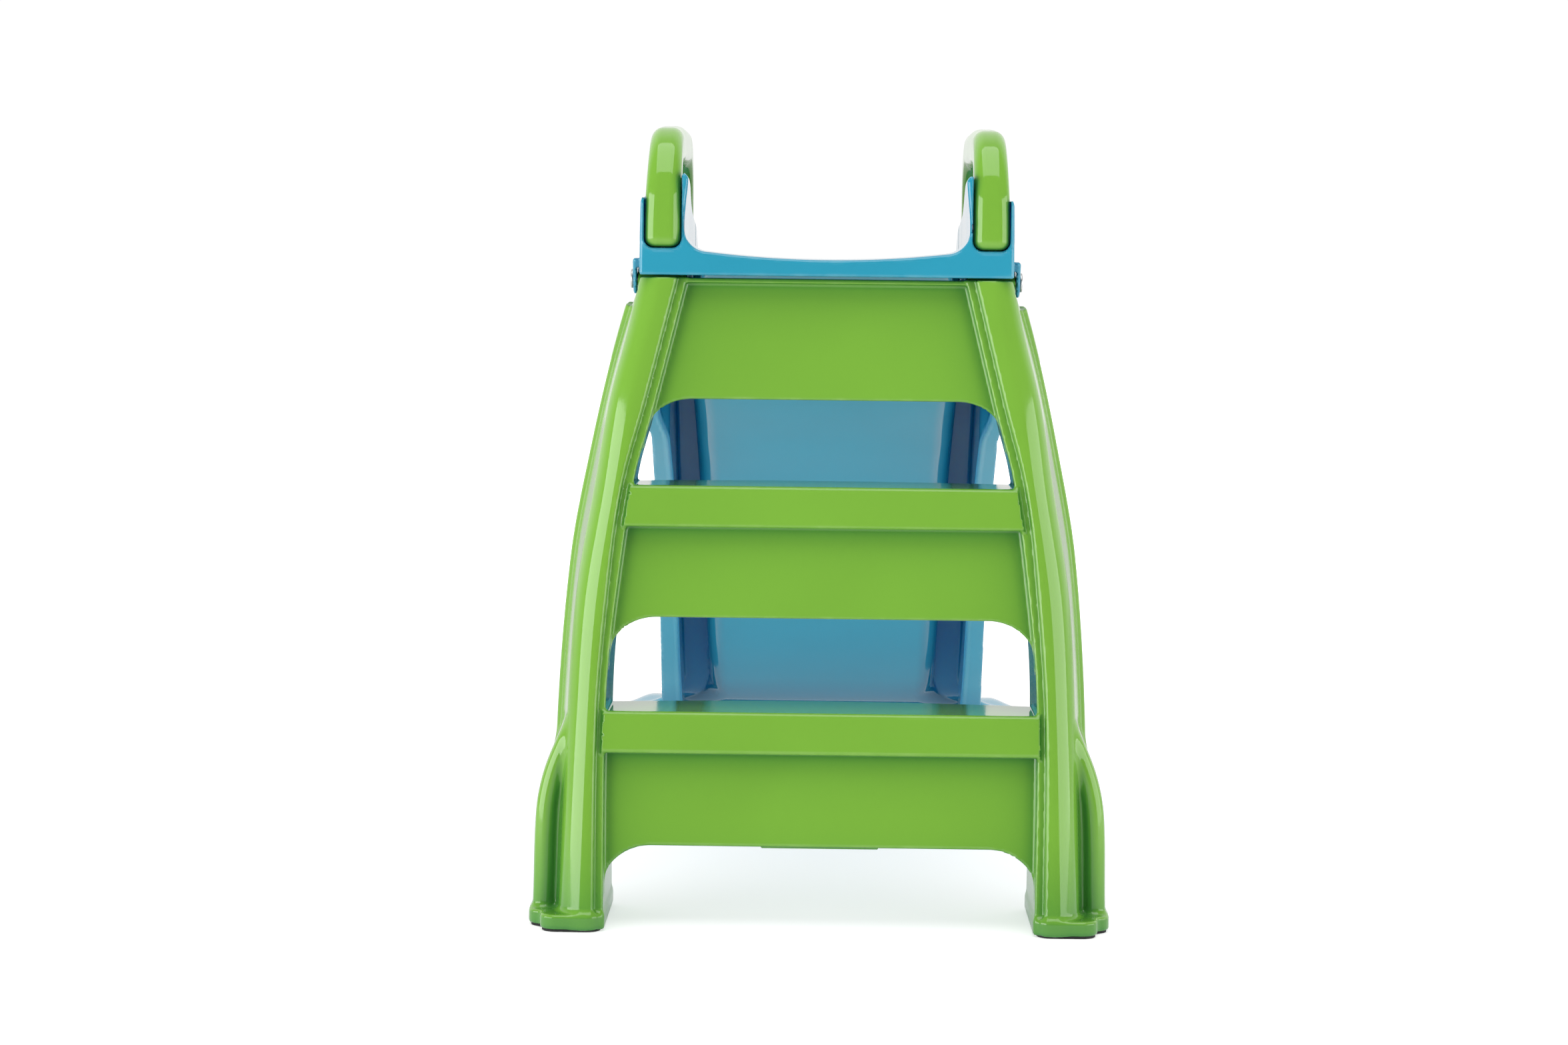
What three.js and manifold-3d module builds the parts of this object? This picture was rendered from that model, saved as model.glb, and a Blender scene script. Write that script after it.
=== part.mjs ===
// Folding toddler slide with a waved chute: a moulded ladder hinged under the top of a moulded slide body.
// Millimetres. +X to the right of a child climbing up, +Y from the ladder towards the exit, +Z up.
import * as THREE from 'three';
import { mergeVertices } from 'three/addons/utils/BufferGeometryUtils.js';
import Module from 'manifold-3d';

const wasm = await Module();
wasm.setup();

// Overall sizes. Distances back from the front of the ladder's feet are called "back".
const LENGTH = 991;
const EXIT_HALF_WIDTH = 228.5;
const HEIGHT = 584;
const WALL = 3;
const GAP = 0.3;

// Ladder.
const TREAD_TOPS = [157.5, 320];
const LADDER_TOP = 470.5;
const RISER_TOP = 467;
const ARCH_FLATS = [60, 224, 382];
const ARCH_WIDTH = 35;
const ARCH_DROP = 30;
const LEAN = 60 / 470;
const NOSING_HEIGHT = 30;
const NOSING_SETBACK = 4;
const RISER_SETBACK = 16;
const TREAD_DEPTH = 59;
const TREAD_BOW = 16;
const TREAD_LIP = 12;
const PAD_THICKNESS = 2.7;
const SOLE_TOP = 7;
const RAIL_WALL = 3.5;
const RAIL_LAP = 1.5;
const FOOT_INNER = 155.5;
const FOOT_NEAR_OUTER = 201;
const FOOT_FAR_OUTER = 210.5;
const FOOT_NEAR_DEPTH = 80;
const FOOT_FAR_START = 20;
const FOOT_FAR_END = 122;
const FOOT_CORNER = 10;
const PAD_INSET = 1.5;
const BUTTRESS_TOP = 136;
const BUTTRESS_INNER = 180;
const BUTTRESS_FRONT = 27;
const BUTTRESS_REAR = 117;

// Hinge between the ladder and the slide body.
const HINGE_BACK = 92;
const HINGE_HEIGHT = 469;
const LUG_RADIUS = 11;
const PIN_RADIUS = 4;
const PIN_CLEARANCE = 0.05;
const LUG_INNER = 102.5;
const LUG_OUTER = 138.2;
const EAR_THICKNESS = 3;
const EAR_INNER_FACE = 138.5;
const INNER_EAR_FACE = 102.2;
const INNER_EAR_THICKNESS = 5;
const INNER_EAR_RISE = 24;
const EAR_HALF_TOP = 20;
const EAR_WEB_RISE = 8;
const EAR_ROOF_UNDERSIDE = 12.5;
const EAR_TOP_RISE = 15;
const LUG_SPACE_HALF = 17;
const PIN_HEAD_RADIUS = 7;
const PIN_HEAD_THICKNESS = 1.6;
const PIN_TIP = 92;
const CAP_DEPTH = 5;
const NECK_BOTTOM = 440;
const NECK_INSET = 12;

// Slide body.
const LIP_FRONT = 60;
const LIP_BOTTOM = 472;
const BED_HALF = 95;
const WING_INNER = 103.8;
const WING_OUTER = 134;
const EXIT_FLARE = 55;
const FLARE_START = 865;
const FLARE_LENGTH = 126;
const FOOT_LEVEL = PAD_THICKNESS + GAP;

// Handrails.
const RAIL_WIDTH = 27;
const RAIL_DEPTH = 28;
const RAIL_CORNER = 9;
const RAIL_BEND = 40;
const RAIL_MIDDLE = 119.5;
const RAIL_SPAN = 222;
const RAIL_NEAR_BOTTOM = 492;
const RAIL_FAR_BOTTOM = 484;
const RAIL_FRONT = LIP_FRONT + RAIL_DEPTH / 2 + GAP;
const RAIL_SHELL = 3;
const RAIL_END_PLUG = 14;
const SCREW_HOLE_RADIUS = 1.7;
const SCREW_SHANK_RADIUS = 1.6;
const SCREW_HEAD_RADIUS = 4;
const SCREW_HEAD_THICKNESS = 2.4;
const SCREW_CLEARANCE_RADIUS = 2.3;
const BLOW_HOLE_RADIUS = 2.5;
const BLOW_HOLE_OFFSET = 7;

// Storage latch behind the lowest riser.
const LATCH_BACK = 54;
const LATCH_HEIGHT = 92;
const LATCH_WIDTH = 21;
const LATCH_PIN_RADIUS = 2.5;
const LATCH_PIN_HALF = 15;
const LATCH_PIN_HEAD_RADIUS = 4.5;
const LATCH_PIN_HEAD_OUTER = 16.5;
const LATCH_BARREL_RADIUS = 6;
const LATCH_ARM_INSET = 3;
const BRACKET_HALF_WIDTH = 42.5;
const BRACKET_BOTTOM = 58.5;
const BRACKET_TOP = 106;
const BRACKET_THICKNESS = 2.5;
const LATCH_SCREW_X = 32;
const LATCH_SCREW_HEIGHT = 84;
const LATCH_SCREW_RADIUS = 1.7;
const LATCH_SCREW_HOLE_RADIUS = 1.9;
const LATCH_SCREW_HOLE_DEPTH = 2.2;
const LATCH_SCREW_BITE = 1.8;

// Exit pads.
const EXIT_PAD_INNER = 196;
const EXIT_PAD_OUTER = 224;
const EXIT_PAD_START = LENGTH - 48;
const EXIT_PAD_END = LENGTH - 8;
const EXIT_PAD_CORNER = 8;

const GREEN = new THREE.MeshStandardMaterial({ color: 0x7db63e, roughness: 0.18 });
const BLUE = new THREE.MeshStandardMaterial({ color: 0x3ea6bd, roughness: 0.2 });
const STEEL = new THREE.MeshStandardMaterial({ color: 0xb9bdc0, roughness: 0.35, metalness: 1 });
const RUBBER = new THREE.MeshStandardMaterial({ color: 0x2b2d2e, roughness: 0.85 });

const clamp01 = (t) => Math.min(1, Math.max(0, t));
const smooth = (t) => clamp01(t) ** 2 * (3 - 2 * clamp01(t));
const mix = (a, b, t) => a + (b - a) * t;

// A smooth curve through [position, value] knots, held level past its ends.
function profile(knots) {
  const slopes = knots.map((knot, i) => {
    const [before, after] = [knots[Math.max(0, i - 1)], knots[Math.min(knots.length - 1, i + 1)]];
    return (after[1] - before[1]) / (after[0] - before[0]);
  });
  return (at) => {
    if (at <= knots[0][0]) return knots[0][1];
    const i = knots.findIndex((knot) => knot[0] >= at);
    if (i < 0) return knots[knots.length - 1][1];
    const [[x0, y0], [x1, y1]] = [knots[i - 1], knots[i]];
    const [run, t] = [x1 - x0, (at - x0) / (x1 - x0)];
    const low = y0 * (1 + 2 * t) * (1 - t) ** 2 + y1 * t * t * (3 - 2 * t);
    return low + run * (slopes[i - 1] * t * (1 - t) ** 2 + slopes[i] * t * t * (t - 1));
  };
}

// Ladder half-widths at each height.
const faceOuter = profile([[0, 187.5], [152, 182], [239, 177], [315, 165], [382, 155], [440, 140],
  [471, 134]]);
const railOuter = profile([[0, 197], [140, 195.5], [263, 187], [338, 174], [408, 158], [471, 139]]);
const railInner = profile([[0, 155.5], [170, 155.5], [260, 147], [329, 136.6], [365, 127], [471, 101]]);
const outerRear = profile([[0, 115], [162, 124], [335, 139], [400, 130], [450, 104], [471, 100]]);
const innerRear = profile([[0, 115], [162, 118], [335, 103], [380, 98], [471, 98]]);
const front = (z) => z * LEAN;
const riserRear = (z) => front(z) + RISER_SETBACK + WALL;

// Slide body: heights along its length.
const bed = profile([[60, 484], [140, 483], [200, 466], [330, 383], [430, 334], [530, 284], [660, 200],
  [780, 116], [880, 64], [960, 46], [991, 43]]);
const wingTop = profile([[60, 546], [110, 543], [210, 524], [320, 506], [380, 462], [460, 392], [660, 262],
  [780, 166], [850, 104], [900, 68], [940, 55.5], [991, 49]]);
const rimDrop = profile([[60, 12], [140, 12], [215, 24], [780, 24], [880, 36], [930, 50], [991, 50]]);
const flangeReach = profile([[60, 0.5], [260, 0.5], [355, 10.8], [823, 16], [900, 30], [943, 46], [991, 40]]);

const flare = (back) => EXIT_FLARE * smooth((back - FLARE_START) / FLARE_LENGTH);
const rimHeight = (back) => Math.max(FOOT_LEVEL + WALL, bed(back) - rimDrop(back));

function solid(geometry) {
  geometry.deleteAttribute('normal');
  geometry.deleteAttribute('uv');
  const merged = mergeVertices(geometry, 1e-4);
  const vertProperties = new Float32Array(merged.attributes.position.array);
  const triVerts = new Uint32Array(merged.index.array);
  const made = new wasm.Manifold(new wasm.Mesh({ numProp: 3, vertProperties, triVerts }));
  if (made.volume() > 0) return made;
  for (let i = 0; i < triVerts.length; i += 3) {
    [triVerts[i], triVerts[i + 1]] = [triVerts[i + 1], triVerts[i]];
  }
  return new wasm.Manifold(new wasm.Mesh({ numProp: 3, vertProperties, triVerts }));
}

function mesh(name, body, material) {
  const { vertProperties, triVerts } = body.getMesh();
  const geometry = new THREE.BufferGeometry();
  geometry.setAttribute('position', new THREE.BufferAttribute(new Float32Array(vertProperties), 3));
  geometry.setIndex(new THREE.BufferAttribute(new Uint32Array(triVerts), 1));
  geometry.computeVertexNormals();
  const made = new THREE.Mesh(geometry, material);
  made.name = name;
  return made;
}

const union = (bodies) => bodies.reduce((whole, body) => whole.add(body));

// A box of nu x nv x nw cells whose corners, given as 0 to 1 on each side, are placed by a function.
function warped(nu, nv, nw, place) {
  const box = new THREE.BoxGeometry(1, 1, 1, nu, nv, nw);
  box.deleteAttribute('normal');
  box.deleteAttribute('uv');
  const merged = mergeVertices(box, 1e-5);
  const corners = merged.attributes.position;
  for (let i = 0; i < corners.count; i += 1) {
    corners.setXYZ(i, ...place(corners.getX(i) + 0.5, corners.getY(i) + 0.5, corners.getZ(i) + 0.5));
  }
  return solid(merged);
}

function block(x0, x1, y0, y1, z0, z1) {
  return warped(1, 1, 1, (u, v, w) => [mix(x0, x1, u), mix(y0, y1, v), mix(z0, z1, w)]);
}

// Two places across X, mirrored to one side and in rising order. side is -1 or 1.
const acrossSide = (side, inner, outer) => (side > 0 ? [inner, outer] : [-outer, -inner]);

// A round bar along X between two places, centred at a distance back and a height.
function bar(radius, x0, x1, back, height, sides = 20) {
  const round = new THREE.CylinderGeometry(radius, radius, Math.abs(x1 - x0), sides);
  round.rotateZ(Math.PI / 2);
  round.translate((x0 + x1) / 2, back, height);
  return solid(round);
}

// A round bar along Z.
function post(radius, x, back, z0, z1, sides = 16) {
  const round = new THREE.CylinderGeometry(radius, radius, z1 - z0, sides);
  round.rotateX(Math.PI / 2);
  round.translate(x, back, (z0 + z1) / 2);
  return solid(round);
}

// A flat outline in back and height, drawn across X between two places.
function slab(outline, x0, x1) {
  const shape = new THREE.Shape(outline.map(([back, height]) => new THREE.Vector2(back, height)));
  const plate = new THREE.ExtrudeGeometry(shape, { depth: x1 - x0, bevelEnabled: false });
  plate.applyMatrix4(new THREE.Matrix4().set(0, 0, 1, x0, 1, 0, 0, 0, 0, 1, 0, 0, 0, 0, 0, 1));
  return solid(plate);
}

function roundedRect(width, depth, corner, steps = 2) {
  const [w, d] = [width / 2 - corner, depth / 2 - corner];
  const points = [];
  for (const [cx, cy, turn] of [[w, d, 0], [-w, d, 1], [-w, -d, 2], [w, -d, 3]]) {
    for (let i = 0; i <= steps; i += 1) {
      const angle = ((turn + i / steps) * Math.PI) / 2;
      points.push(new THREE.Vector2(cx + corner * Math.cos(angle), cy + corner * Math.sin(angle)));
    }
  }
  return new THREE.Shape(points);
}

function roundedPad(x0, x1, y0, y1, z0, z1, corner) {
  const outline = roundedRect(x1 - x0, y1 - y0, corner, 4);
  const pad = new THREE.ExtrudeGeometry(outline, { depth: z1 - z0, bevelEnabled: false });
  pad.translate((x0 + x1) / 2, (y0 + y1) / 2, z0);
  return solid(pad);
}

// ---- Ladder ----

// One leaning side rail: an upright channel, open towards the chute.
function ladderRail(side) {
  const shell = (inset, bottom, top, past) => warped(4, 1, 12, (u, v, w) => {
    const z = mix(bottom, top, w);
    const inner = railInner(z) + inset;
    const face = mix(inner, faceOuter(z) - inset, u);
    const rear = mix(inner, railOuter(z) - inset, u);
    const crown = 5 * (2 * u - 1) ** 4;
    const back = mix(front(z) + inset + crown, mix(innerRear(z), outerRear(z), u) + past, v);
    return [side * mix(face, rear, v), back, z];
  });
  const outside = shell(0, FOOT_LEVEL, LADDER_TOP, 0);
  const hollow = shell(RAIL_WALL, SOLE_TOP, LADDER_TOP - WALL, 30);
  return outside.subtract(hollow);
}

// The outline of a foot: a near lobe under the rail and a wider far lobe.
function footLobes(side, z0, z1, inset) {
  const lobe = (outer, y0, y1) => {
    const [x0, x1] = acrossSide(side, FOOT_INNER + inset, outer - inset);
    return roundedPad(x0, x1, y0 + inset, y1 - inset, z0, z1, FOOT_CORNER);
  };
  return lobe(FOOT_NEAR_OUTER, 0, FOOT_NEAR_DEPTH).add(lobe(FOOT_FAR_OUTER, FOOT_FAR_START, FOOT_FAR_END));
}

// The wide rear lobe of a foot, with its shoulder part way up the rail.
function footButtress(side) {
  const reach = profile([[FOOT_LEVEL, 209], [24, 208.5], [83, 207], [110, 202], [BUTTRESS_TOP, 192]]);
  const shell = (inset, bottom, top, past) => warped(2, 1, 5, (u, v, w) => {
    const z = mix(bottom, top, w);
    const x = mix(BUTTRESS_INNER + inset, reach(z) - inset, u);
    const crown = 8 * u ** 4;
    return [side * x, mix(BUTTRESS_FRONT + crown + inset, BUTTRESS_REAR + past, v), z];
  });
  const outside = shell(0, FOOT_LEVEL, BUTTRESS_TOP, 0);
  return outside.subtract(shell(RAIL_WALL, SOLE_TOP, BUTTRESS_TOP - 6, 20));
}

// A riser panel whose lower edge is an arch that sweeps down to the rails.
function riser(top, archFlat) {
  return warped(18, 1, 2, (u, v, w) => {
    const across = 2 * u - 1;
    const lowEdge = railInner(archFlat);
    const t = clamp01((Math.abs(across) * lowEdge - (lowEdge - ARCH_WIDTH)) / ARCH_WIDTH);
    const z = mix(archFlat - ARCH_DROP * (1 - Math.sqrt(1 - t * t * 0.98)), top, w);
    return [across * (railInner(z) + RAIL_LAP), front(z) + RISER_SETBACK + v * WALL, z];
  });
}

// A tread with its nosing band, the ledge under the nosing and the lip turned down along its rear edge.
function tread(top) {
  const nose = front(top) + NOSING_SETBACK;
  const rearEdge = (across) => nose + TREAD_DEPTH + TREAD_BOW * (1 - across * across);
  const plate = (y0, y1, z0, z1) => warped(8, 1, 1, (u, v, w) => {
    const across = 2 * u - 1;
    const z = mix(z0, z1, w);
    return [across * (railInner(z) + RAIL_LAP), mix(y0(across, z), y1(across, z), v), z];
  });
  const face = (across, z) => front(z) + NOSING_SETBACK;
  const under = top - NOSING_HEIGHT;
  return union([
    plate(face, rearEdge, top - WALL, top),
    plate(face, (across, z) => face(across, z) + WALL, under, top),
    plate(face, (across, z) => front(z) + RISER_SETBACK + WALL, under, under + WALL),
    plate((across) => rearEdge(across) - WALL, rearEdge, top - TREAD_LIP, top),
  ]);
}

// A round lug on the hinge's axis, and the neck that joins it to the rail below.
function hingeLug(side) {
  const [x0, x1] = acrossSide(side, LUG_INNER, LUG_OUTER);
  const lug = bar(LUG_RADIUS, x0, x1, HINGE_BACK, HINGE_HEIGHT);
  const near = front(NECK_BOTTOM) + NECK_INSET;
  const outline = [[near, NECK_BOTTOM], [HINGE_BACK + 4, NECK_BOTTOM],
    [HINGE_BACK + LUG_RADIUS - 0.5, HINGE_HEIGHT], [near + 4, LADDER_TOP]];
  return lug.add(slab(outline, x0 + NECK_INSET, x1 - NECK_INSET));
}

// A bar on the hinge's axis, from inner to outer on one side.
function hingeBar(side, radius, inner, outer) {
  const [x0, x1] = acrossSide(side, inner, outer);
  return bar(radius, x0, x1, HINGE_BACK, HINGE_HEIGHT);
}

const pinBore = (side) => hingeBar(side, PIN_RADIUS + PIN_CLEARANCE, 80, 150);

function ladderFrame() {
  const underTread = (i) => TREAD_TOPS[i] - NOSING_HEIGHT + 1;
  const pieces = [riser(underTread(0), ARCH_FLATS[0]), tread(TREAD_TOPS[0])];
  pieces.push(riser(underTread(1), ARCH_FLATS[1]), tread(TREAD_TOPS[1]), riser(RISER_TOP, ARCH_FLATS[2]));
  for (const side of [-1, 1]) {
    pieces.push(ladderRail(side), footLobes(side, FOOT_LEVEL, SOLE_TOP, 0), footButtress(side));
  }
  let whole = union(pieces);
  for (const side of [-1, 1]) {
    whole = whole.subtract(hingeBar(side, LUG_RADIUS + 9, LUG_OUTER, 175));
    whole = whole.subtract(hingeBar(side, LUG_RADIUS + 2, 90, LUG_INNER));
    whole = whole.add(hingeLug(side)).subtract(pinBore(side));
  }
  for (const x of [-LATCH_SCREW_X, LATCH_SCREW_X]) {
    const holeEnd = riserRear(LATCH_SCREW_HEIGHT) - LATCH_SCREW_HOLE_DEPTH;
    whole = whole.subtract(alongBack(LATCH_SCREW_HOLE_RADIUS, x, holeEnd, 45, LATCH_SCREW_HEIGHT));
  }
  return whole;
}

// ---- Storage latch ----

const latchBar = (radius, x0, x1) => bar(radius, x0, x1, LATCH_BACK, LATCH_HEIGHT);
const latchBore = () => latchBar(LATCH_PIN_RADIUS + PIN_CLEARANCE, -20, 20);

// A round bar along Y.
function alongBack(radius, x, y0, y1, height, sides = 16) {
  const round = new THREE.CylinderGeometry(radius, radius, y1 - y0, sides);
  round.translate(x, (y0 + y1) / 2, height);
  return solid(round);
}

// A plate screwed to the back of the riser, with two cheeks that carry the pin.
function latchBracket() {
  const face = (z, extra) => riserRear(z) + GAP + extra;
  const plate = warped(1, 1, 1, (u, v, w) => {
    const z = mix(BRACKET_BOTTOM, BRACKET_TOP, w);
    return [mix(-BRACKET_HALF_WIDTH, BRACKET_HALF_WIDTH, u), face(z, v * BRACKET_THICKNESS), z];
  });
  const cheekOutline = [[face(80, 1), 78], [LATCH_BACK + 6, 84], [LATCH_BACK + 7, LATCH_HEIGHT + 6],
    [face(104, 1), 104]];
  const cheekInner = LATCH_WIDTH / 2 + 0.4;
  let whole = plate;
  for (const side of [-1, 1]) {
    whole = whole.add(slab(cheekOutline, ...acrossSide(side, cheekInner, cheekInner + WALL)));
  }
  whole = whole.subtract(latchBore());
  for (const x of [-LATCH_SCREW_X, LATCH_SCREW_X]) {
    whole = whole.subtract(alongBack(SCREW_CLEARANCE_RADIUS, x, 15, 45, LATCH_SCREW_HEIGHT));
  }
  return whole;
}

// A finger tab below the pivot and a hooked arm that reaches back under the tread above.
function latchLever() {
  const [b, h, half] = [LATCH_BACK, LATCH_HEIGHT, LATCH_WIDTH / 2];
  const tabOutline = [[b - 5, h - 2], [b - 11, 62], [b - 11, 56.5], [b - 6, 56.5], [b + 4, h - 3]];
  const armOutline = [[b - 2, h + 5], [b + 3, h - 5], [b + 48, h + 26], [b + 55, h + 34], [b + 55, h + 60],
    [b + 48, h + 62], [b + 49, h + 37]];
  const armHalf = half - LATCH_ARM_INSET;
  const lever = union([latchBar(LATCH_BARREL_RADIUS, -half, half), slab(tabOutline, -half, half),
    slab(armOutline, -armHalf, armHalf)]);
  return lever.subtract(latchBore());
}

function latchPin() {
  const shaft = latchBar(LATCH_PIN_RADIUS, -LATCH_PIN_HALF, LATCH_PIN_HALF);
  return shaft.add(latchBar(LATCH_PIN_HEAD_RADIUS, -LATCH_PIN_HEAD_OUTER, 0.2 - LATCH_PIN_HALF));
}

function latchScrew(x) {
  const tip = riserRear(LATCH_SCREW_HEIGHT) - LATCH_SCREW_BITE;
  const face = riserRear(LATCH_SCREW_HEIGHT) + GAP + BRACKET_THICKNESS + 1;
  const head = alongBack(SCREW_HEAD_RADIUS, x, face, face + 2.2, LATCH_SCREW_HEIGHT);
  return head.add(alongBack(LATCH_SCREW_RADIUS, x, tip, face + 1, LATCH_SCREW_HEIGHT));
}

// ---- Slide body ----

// The section's upper outline from the middle to the right rim, as [half-width, height].
function sectionLine(back) {
  const [z, top, rim] = [bed(back), wingTop(back), rimHeight(back)];
  const cove = Math.min(14, 0.45 * (top - z));
  const shoulder = Math.min(7, 0.25 * (top - z));
  const out = flare(back);
  const near = 1 - smooth((back - 318) / 50);
  const inner = WING_INNER + out;
  const outer = mix(130, WING_OUTER + 2, near) + out * 1.2 + 6 * smooth((back - 400) / 420);
  const reach = Math.min(outer + flangeReach(back), EXIT_HALF_WIDTH);
  const half = BED_HALF + out;
  const dish = 6 * (1 - smooth((back - 100) / 80));
  return [
    [0, z], [half * 0.55, z + dish * 0.4], [half - 8, z + dish], [half + 2, z + dish + 0.28 * cove],
    [inner - 1.5, z + dish + cove], [inner, mix(z + dish + cove, top, 0.5)], [inner + 1, top - shoulder],
    [inner + 7, top], [outer - 9, top - 1], [outer - 2, top - shoulder], [outer, mix(rim, top, 0.5)],
    [outer, rim + 4], [outer + 0.5, rim + 1],
    [reach, rim],
  ];
}

// The same outline moved inwards by the wall thickness, with mitred corners.
function sectionUnder(line) {
  return line.map(([x, z], i) => {
    const [ax, az] = i > 0 ? line[i - 1] : [-line[1][0], line[1][1]];
    const [bx, bz] = i < line.length - 1 ? line[i + 1] : [2 * x - ax, 2 * z - az];
    const before = new THREE.Vector2(x - ax, z - az).normalize();
    const after = new THREE.Vector2(bx - x, bz - z).normalize();
    const normal = new THREE.Vector2(before.y + after.y, -before.x - after.x).normalize();
    const mitre = WALL / Math.max(0.6, normal.x * before.y - normal.y * before.x);
    return [x + normal.x * mitre, z + normal.y * mitre];
  });
}

function chute() {
  const halfCells = sectionLine(LIP_FRONT).length - 1;
  const stations = 24;
  const pick = (u, v, back) => {
    const place = Math.round((2 * u - 1) * halfCells);
    const line = sectionLine(back);
    const [x, z] = (v > 0.5 ? line : sectionUnder(line))[Math.abs(place)];
    return [Math.sign(place) * x, z];
  };
  return warped(2 * halfCells, 1, stations, (u, v, w) => {
    const back = mix(LIP_FRONT, LENGTH, w);
    const [x, z] = pick(u, v, back);
    return [x, back, z];
  });
}

// The height of a section's upper outline at a half-width.
function heightOn(line, x) {
  const i = Math.max(1, line.findIndex(([lineX]) => lineX >= x));
  const [[x0, z0], [x1, z1]] = [line[i - 1], line[i]];
  return mix(z0, z1, clamp01((x - x0) / Math.max(x1 - x0, 0.1)));
}

// The downturned lip across the front of the platform, up to the underside of the platform and the wings.
function frontLip() {
  const line = sectionLine(LIP_FRONT);
  const topAt = (x) => (x > WING_INNER + 1 ? RAIL_NEAR_BOTTOM - GAP : heightOn(line, x) - 0.5);
  return warped(28, 1, 1, (u, v, w) => {
    const x = (2 * u - 1) * (WING_OUTER + 1.5);
    return [x, LIP_FRONT + v * WALL, mix(LIP_BOTTOM, topAt(Math.abs(x)), w)];
  });
}

const pocketNear = RAIL_FRONT + RAIL_DEPTH / 2 + GAP;
const farMiddle = RAIL_FRONT + RAIL_SPAN;

// The sockets that hold the two legs of one handrail: a floor and end walls inside the hollow wing.
function socketWalls(side) {
  const [x0, x1] = acrossSide(side, WING_INNER - 2, WING_OUTER - 3);
  const wall = (y0, y1, z0, z1) => block(x0, x1, y0, y1, z0, z1);
  const [farNear, farFar] = [farMiddle - RAIL_DEPTH / 2 - GAP, farMiddle + RAIL_DEPTH / 2 + GAP];
  return union([
    wall(LIP_FRONT, pocketNear + WALL, RAIL_NEAR_BOTTOM - GAP - WALL, RAIL_NEAR_BOTTOM - GAP),
    wall(pocketNear, pocketNear + WALL, RAIL_NEAR_BOTTOM - WALL, wingTop(pocketNear) - 2),
    wall(farNear - WALL, farFar + WALL, RAIL_FAR_BOTTOM - GAP - WALL, RAIL_FAR_BOTTOM - GAP),
    wall(farNear - WALL, farNear, RAIL_FAR_BOTTOM - WALL, wingTop(farNear) - 2),
    wall(farFar, farFar + WALL, RAIL_FAR_BOTTOM - WALL, wingTop(farFar) - 2),
  ]);
}

function socketSpace(side) {
  const half = RAIL_WIDTH / 2 + GAP;
  const [x0, x1] = [side * RAIL_MIDDLE - half, side * RAIL_MIDDLE + half];
  const near = block(x0, x1, LIP_FRONT - 20, pocketNear, RAIL_NEAR_BOTTOM - GAP, HEIGHT);
  const farHalf = RAIL_DEPTH / 2 + GAP;
  const far = block(x0, x1, farMiddle - farHalf, farMiddle + farHalf, RAIL_FAR_BOTTOM - GAP, HEIGHT);
  return union([near, far, railTube(side, -GAP, 0)]);
}

// The hollow ear that stands out from the side, with the inner ear behind the lug.
function hingeEars(side) {
  const [b, h, r] = [HINGE_BACK, HINGE_HEIGHT, LUG_RADIUS + 0.5];
  const round = [];
  for (let i = 0; i <= 12; i += 1) {
    const angle = Math.PI + (i / 12) * Math.PI;
    round.push([b + r * Math.cos(angle), h + r * Math.sin(angle)]);
  }
  const top = h + EAR_TOP_RISE;
  const innerTop = h + INNER_EAR_RISE;
  const outer = slab([...round, [b + EAR_HALF_TOP, top], [b - EAR_HALF_TOP, top]],
    ...acrossSide(side, EAR_INNER_FACE, EAR_INNER_FACE + EAR_THICKNESS));
  const inner = slab([...round, [b + r, innerTop], [b - r, innerTop]],
    ...acrossSide(side, INNER_EAR_FACE - INNER_EAR_THICKNESS, INNER_EAR_FACE));
  const [x0, x1] = acrossSide(side, WING_OUTER - 1, EAR_INNER_FACE + 1);
  const roof = block(x0, x1, b - EAR_HALF_TOP, b + EAR_HALF_TOP, h + EAR_ROOF_UNDERSIDE, top);
  const nearWeb = block(x0, x1, b - EAR_HALF_TOP, b - EAR_HALF_TOP + WALL, h + EAR_WEB_RISE, top);
  const farWeb = block(x0, x1, b + EAR_HALF_TOP - WALL, b + EAR_HALF_TOP, h + EAR_WEB_RISE, top);
  return union([outer, inner, roof, nearWeb, farWeb]);
}

// The wall that closes the exit's end, from the chute's surface down to the floor.
function exitLip() {
  const line = sectionLine(LENGTH);
  const half = line[line.length - 3][0] - 1;
  return warped(28, 1, 1, (u, v, w) => {
    const x = (2 * u - 1) * half;
    return [x, LENGTH - WALL * (1 - v), mix(FOOT_LEVEL, heightOn(line, Math.abs(x)) - WALL / 2, w)];
  });
}

// The room for a hinge lug inside the hollow wing.
function lugSpace(side) {
  const [x0, x1] = acrossSide(side, WING_INNER + 1, EAR_INNER_FACE);
  const [near, far] = [HINGE_BACK - LUG_SPACE_HALF, HINGE_BACK + LUG_SPACE_HALF];
  return block(x0, x1, near, far, 440, HINGE_HEIGHT + EAR_ROOF_UNDERSIDE);
}

function slideBody() {
  let whole = union([chute(), frontLip(), exitLip()]);
  for (const side of [-1, 1]) {
    whole = whole.subtract(lugSpace(side)).add(hingeEars(side)).add(socketWalls(side));
    whole = whole.subtract(socketSpace(side)).subtract(pinBore(side));
    whole = whole.subtract(post(SCREW_CLEARANCE_RADIUS, side * RAIL_MIDDLE, RAIL_FRONT, 470, 500));
    whole = whole.subtract(post(SCREW_CLEARANCE_RADIUS, side * RAIL_MIDDLE, farMiddle, 470, 492));
  }
  return whole;
}

// ---- Hinge pins, handrails, screws and pads ----

function hingePin(side) {
  const face = EAR_INNER_FACE + EAR_THICKNESS + GAP;
  const head = hingeBar(side, PIN_HEAD_RADIUS, face, face + PIN_HEAD_THICKNESS);
  return head.add(hingeBar(side, PIN_RADIUS, PIN_TIP, face + 0.5));
}

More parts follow.
